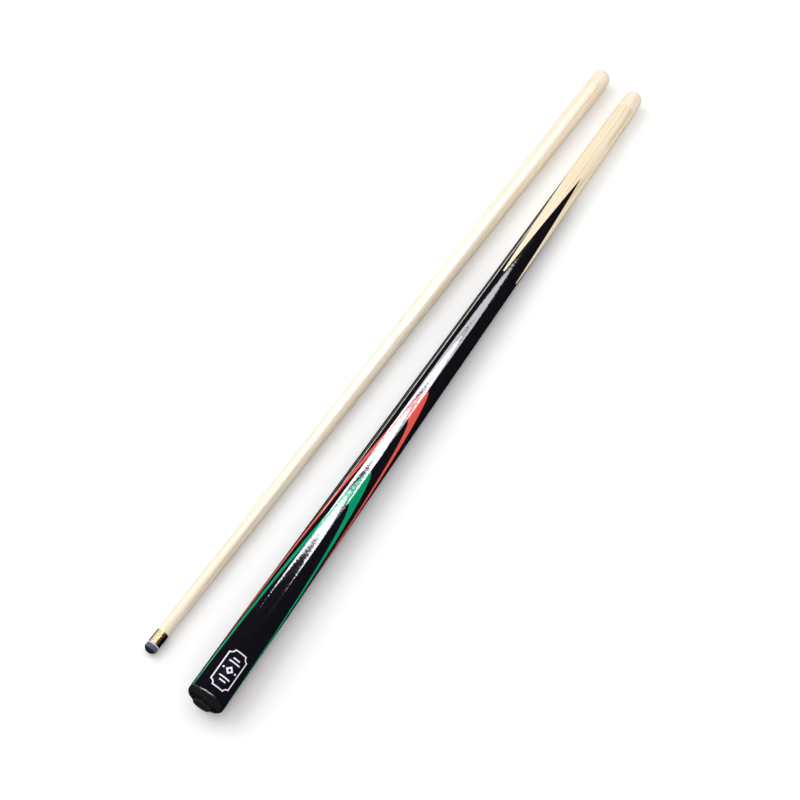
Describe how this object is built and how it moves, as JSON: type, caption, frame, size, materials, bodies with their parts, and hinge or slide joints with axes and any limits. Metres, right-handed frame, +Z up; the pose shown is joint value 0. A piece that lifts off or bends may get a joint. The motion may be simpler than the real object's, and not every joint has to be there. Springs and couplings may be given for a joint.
{
  "type": "pool cue",
  "caption": "Two-piece cue taken apart: black spliced butt half with veneers and badge beside a pale ash shaft half, a domed wooden cap on each joint end.",
  "frame": {"origin": "on the floor, under the middle of the part's box", "axes": "+X from the butt's bumper to its joint end, +Y from the butt half to the shaft half, +Z up"},
  "size_m": [0.767, 0.0824, 0.0303],
  "materials": {
    "ash": "satin lacquer",
    "ebony": "high gloss lacquer",
    "red_veneer": "high gloss lacquer",
    "green_veneer": "high gloss lacquer",
    "badge_black": "gloss",
    "badge_white": "gloss",
    "trim_ring": "polished",
    "end_cap": "satin",
    "bumper": "matte",
    "steel": "turned",
    "brass": "polished",
    "cap_wood": "satin lacquer",
    "fibre": "matte",
    "tip_leather": "chalked"
  },
  "bodies": {
    "butt": {"forearm": "ash", "butt_wood": "ebony", "red_veneer": "red_veneer", "middle_overlay": "ebony", "green_veneer": "green_veneer", "front_overlay": "ebony", "badge_plate": "badge_black", "badge_inlay": "badge_white", "end_ring": "trim_ring", "end_cap": "end_cap", "joint_sleeve": "brass", "joint_pin": "brass"},
    "bumper": {"bumper": "bumper"},
    "pin_cap": {"pin_cap": "cap_wood", "pin_cap_bush": "brass"},
    "weight": {"weight_slug": "steel"},
    "insert": {"joint_insert": "brass"},
    "shaft": {"shaft_wood": "ash", "ferrule": "brass", "tip_pad": "fibre", "tip": "tip_leather"},
    "insert_cap": {"insert_cap": "cap_wood", "insert_cap_peg": "brass"}
  },
  "joints": [
    {"name": "joint_draw", "type": "slide", "parent": "butt", "child": "weight", "axis": [-1, 0, 0.0068], "range_m": [0, 0.07]},
    {"name": "shaft_turn", "type": "hinge", "parent": "weight", "child": "insert", "pos_m": [0.38372, -0.00563, 0], "axis": [0, 0, -1], "range_deg": [0, 178.37]},
    {"name": "joint_screw", "type": "hinge", "parent": "insert", "child": "shaft", "pos_m": [0.35553, 0.01578, 0.00992], "axis": [0.9996, -0.0284, 0.0068], "range_deg": [0, 5040]},
    {"name": "insert_cap_off", "type": "hinge", "parent": "insert", "child": "insert_cap", "pos_m": [0.38267, 1.21549, 0], "axis": [0, 0, 1], "range_deg": [0, 13.3]},
    {"name": "pin_cap_off", "type": "hinge", "parent": "butt", "child": "pin_cap", "pos_m": [0.3535, -1.22623, 0], "axis": [0, 0, -1], "range_deg": [0, 13.3]},
    {"name": "bumper_pull", "type": "slide", "parent": "butt", "child": "bumper", "axis": [-1, 0, 0.0068], "range_m": [0, 0.03]}
  ],
  "couplings": [
    {"joint": "joint_screw", "follows": "joint_draw", "rad_per_m": 1256.6}
  ]
}
